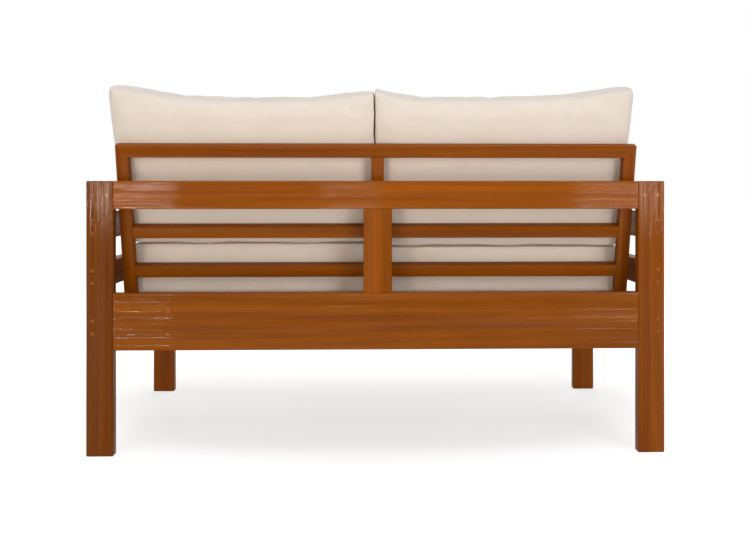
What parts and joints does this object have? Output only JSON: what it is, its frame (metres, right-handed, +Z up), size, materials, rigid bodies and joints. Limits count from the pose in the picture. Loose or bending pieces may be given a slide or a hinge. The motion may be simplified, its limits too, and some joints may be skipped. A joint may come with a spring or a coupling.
{
  "type": "patio loveseat",
  "caption": "Wooden patio loveseat with slatted sides, flat arms, a leaning ladder back and loose cream box cushions on the seat and back.",
  "frame": {"origin": "centre of the loveseat's footprint, on the floor under the feet", "axes": "+Z up, +X to the right of a person who stands in front of the loveseat, -Y to the front, where the sitter faces"},
  "size_m": [1.3, 0.75, 0.8304],
  "materials": {
    "varnished_wood": "glossy orange-brown varnish over straight grain",
    "hidden_wood": "satin varnish over straight grain",
    "plug_wood": "end grain plugs under varnish",
    "dowel_wood": "plain beech",
    "zinc_steel": "zinc plated",
    "cream_fabric": "plain woven polyester with sewn seams",
    "foam": "open-cell foam"
  },
  "bodies": {
    "frame": {"arm_rail_left": "varnished_wood", "arm_rail_right": "varnished_wood", "back_bottom_rail_left": "varnished_wood", "back_bottom_rail_right": "varnished_wood", "back_frame_screws": "zinc_steel", "back_slat_1_left": "varnished_wood", "back_slat_1_right": "varnished_wood", "back_slat_2_left": "varnished_wood", "back_slat_2_right": "varnished_wood", "back_slat_3_left": "varnished_wood", "back_slat_3_right": "varnished_wood", "back_stile_centre": "varnished_wood", "back_stile_left": "varnished_wood", "back_stile_right": "varnished_wood", "back_top_rail": "varnished_wood", "bolt_cross_nuts": "zinc_steel", "front_apron": "varnished_wood", "front_leg_left": "varnished_wood", "front_leg_right": "varnished_wood", "mitre_dowels": "dowel_wood", "rail_bolts": "zinc_steel", "rail_dowels": "dowel_wood", "rear_centre_stile": "varnished_wood", "rear_lower_rail": "varnished_wood", "rear_post_left": "varnished_wood", "rear_post_right": "varnished_wood", "rear_upper_rail": "varnished_wood", "screw_plugs": "plug_wood", "seat_bearer_centre": "hidden_wood", "seat_bearer_left": "hidden_wood", "seat_bearer_right": "hidden_wood", "seat_slat_1": "hidden_wood", "seat_slat_2": "hidden_wood", "seat_slat_3": "hidden_wood", "seat_slat_4": "hidden_wood", "seat_slat_5": "hidden_wood", "seat_slat_6": "hidden_wood", "seat_slat_7": "hidden_wood", "seat_slat_screws": "zinc_steel", "side_frame_screws": "zinc_steel", "side_slat_lower_left": "varnished_wood", "side_slat_lower_right": "varnished_wood", "side_slat_middle_left": "varnished_wood", "side_slat_middle_right": "varnished_wood", "side_slat_upper_left": "varnished_wood", "side_slat_upper_right": "varnished_wood"},
    "seat_cushion_left": {"seat_cushion_cover_left": "cream_fabric", "seat_cushion_foam_left": "foam"},
    "seat_cushion_right": {"seat_cushion_cover_right": "cream_fabric", "seat_cushion_foam_right": "foam"},
    "back_cushion_left": {"back_cushion_cover_left": "cream_fabric", "back_cushion_foam_left": "foam"},
    "back_cushion_right": {"back_cushion_cover_right": "cream_fabric", "back_cushion_foam_right": "foam"}
  },
  "joints": [
    {"name": "seat_cushion_left_lift", "type": "slide", "parent": "frame", "child": "seat_cushion_left", "axis": [0, 0, 1], "range_m": [0, 0.4]},
    {"name": "seat_cushion_right_lift", "type": "slide", "parent": "frame", "child": "seat_cushion_right", "axis": [0, 0, 1], "range_m": [0, 0.4]},
    {"name": "back_cushion_left_lift", "type": "slide", "parent": "seat_cushion_left", "child": "back_cushion_left", "axis": [0, 0, 1], "range_m": [0, 0.4]},
    {"name": "back_cushion_right_lift", "type": "slide", "parent": "seat_cushion_right", "child": "back_cushion_right", "axis": [0, 0, 1], "range_m": [0, 0.4]}
  ]
}
